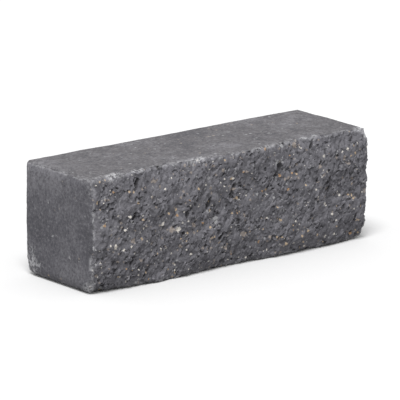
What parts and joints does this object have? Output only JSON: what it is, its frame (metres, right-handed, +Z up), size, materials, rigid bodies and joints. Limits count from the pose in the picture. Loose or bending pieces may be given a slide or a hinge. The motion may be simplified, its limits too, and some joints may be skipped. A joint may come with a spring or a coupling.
{
  "type": "split-face concrete walling block",
  "caption": "Rectangular solid concrete block with one rough split long face and five smooth moulded faces, laid dry in courses to build a garden or retaining wall.",
  "frame": {"origin": "in the bed plane, under the middle of the block", "axes": "+X along the wall, -Y out of the split front face, +Z up"},
  "size_m": [0.3, 0.1, 0.1],
  "materials": {
    "concrete": "matte anthracite concrete, smooth on the moulded faces and coarse-grained on the split face"
  },
  "bodies": {
    "root": {"wall_block": "concrete"}
  },
  "joints": []
}
